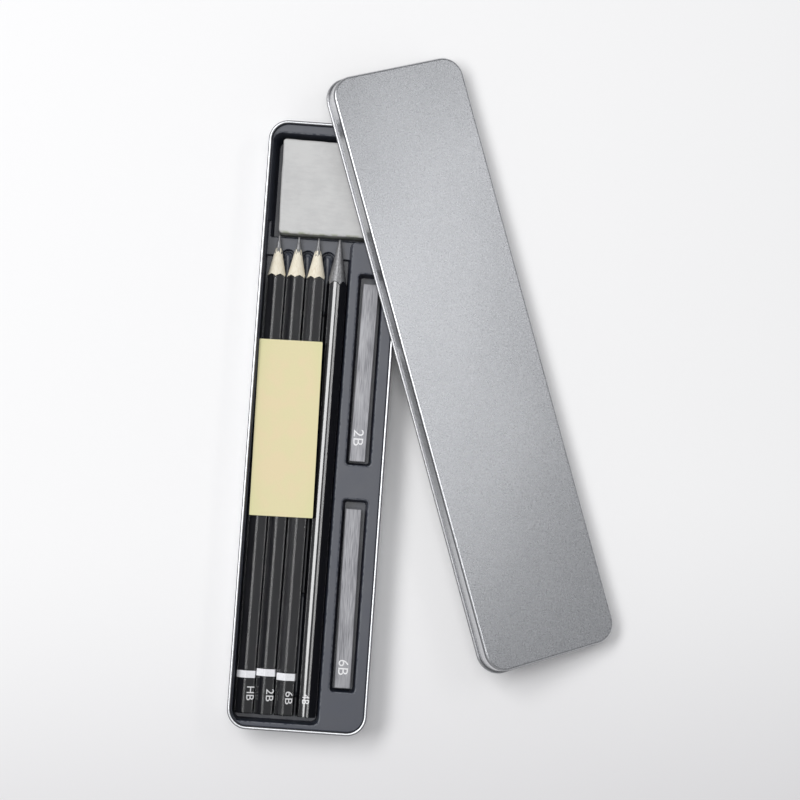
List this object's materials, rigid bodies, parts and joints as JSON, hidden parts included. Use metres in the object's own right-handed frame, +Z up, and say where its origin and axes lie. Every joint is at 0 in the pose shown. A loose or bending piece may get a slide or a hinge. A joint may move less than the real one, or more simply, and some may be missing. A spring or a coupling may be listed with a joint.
{
  "type": "sketching set in a tin",
  "caption": "Open flat slip-lid tin with a formed insert holding pencils, graphite sticks and a kneaded eraser; the lid leans on the rim and every tool lifts out.",
  "frame": {"origin": "centre of the tin's flat underside, on the surface it stands on", "axes": "+Y along the tin towards the eraser and the pencil points, +X across it towards the leaning lid, +Z up"},
  "size_m": [0.1381, 0.2506, 0.0235],
  "materials": {
    "tin": "satin tinplate",
    "lid": "fine sand-blasted satin tinplate",
    "tray": "vacuum-formed, soft sheen",
    "card": "plain uncoated card",
    "eraser": "kneaded, dull",
    "stick": "pressed graphite and clay, drawn grain",
    "graphite": "sharpened graphite and clay",
    "gloss_lacquer": "gloss black lacquer",
    "matte_lacquer": "matt black lacquer",
    "band": "white lacquer band",
    "dip": "black dipped lacquer",
    "wood": "freshly cut basswood"
  },
  "bodies": {
    "tin": {"tin_base": "tin", "insert_tray": "tray"},
    "lid": {"lid": "lid"},
    "card": {"blank_card": "card"},
    "eraser": {"kneaded_eraser": "eraser"},
    "stick_2b": {"stick_2b": "stick"},
    "stick_6b": {"stick_6b": "stick"},
    "pencil_4b": {"pencil_4b_core": "graphite", "pencil_4b_lacquer": "gloss_lacquer"},
    "pencil_hb": {"pencil_hb_lead": "graphite", "pencil_hb_slat_left": "wood", "pencil_hb_slat_right": "wood", "pencil_hb_lacquer": "matte_lacquer", "pencil_hb_band": "band", "pencil_hb_dipped_end": "dip"},
    "pencil_2b": {"pencil_2b_lead": "graphite", "pencil_2b_slat_left": "wood", "pencil_2b_slat_right": "wood", "pencil_2b_lacquer": "matte_lacquer", "pencil_2b_band": "band", "pencil_2b_dipped_end": "dip"},
    "pencil_6b": {"pencil_6b_lead": "graphite", "pencil_6b_slat_left": "wood", "pencil_6b_slat_right": "wood", "pencil_6b_lacquer": "matte_lacquer", "pencil_6b_band": "band", "pencil_6b_dipped_end": "dip"}
  },
  "joints": [
    {"name": "lid_lift", "type": "slide", "parent": "tin", "child": "lid", "axis": [0, 0, 1], "range_m": [0, 0.12]},
    {"name": "eraser_lift", "type": "slide", "parent": "tin", "child": "eraser", "axis": [0, 0, 1], "range_m": [0, 0.048]},
    {"name": "stick_2b_lift", "type": "slide", "parent": "tin", "child": "stick_2b", "axis": [0, 0, 1], "range_m": [0, 0.048]},
    {"name": "stick_6b_lift", "type": "slide", "parent": "tin", "child": "stick_6b", "axis": [0, 0, 1], "range_m": [0, 0.05]},
    {"name": "pencil_2b_lift", "type": "slide", "parent": "tin", "child": "pencil_2b", "axis": [0, 0, 1], "range_m": [0, 0.06]},
    {"name": "card_lift", "type": "slide", "parent": "tin", "child": "card", "axis": [0, 0, 1], "range_m": [0, 0.078]},
    {"name": "pencil_hb_lift", "type": "slide", "parent": "tin", "child": "pencil_hb", "axis": [0, 0, 1], "range_m": [0, 0.06]},
    {"name": "pencil_6b_lift", "type": "slide", "parent": "tin", "child": "pencil_6b", "axis": [0, 0, 1], "range_m": [0, 0.06]},
    {"name": "pencil_4b_lift", "type": "slide", "parent": "tin", "child": "pencil_4b", "axis": [0, 0, 1], "range_m": [0, 0.06]}
  ],
  "couplings": [
    {"joint": "eraser_lift", "follows": "lid_lift", "ratio": 0.4},
    {"joint": "stick_2b_lift", "follows": "lid_lift", "ratio": 0.4},
    {"joint": "card_lift", "follows": "pencil_2b_lift", "ratio": 1.3},
    {"joint": "pencil_hb_lift", "follows": "pencil_2b_lift", "ratio": 1},
    {"joint": "pencil_6b_lift", "follows": "pencil_2b_lift", "ratio": 1},
    {"joint": "pencil_4b_lift", "follows": "pencil_2b_lift", "ratio": 1}
  ]
}
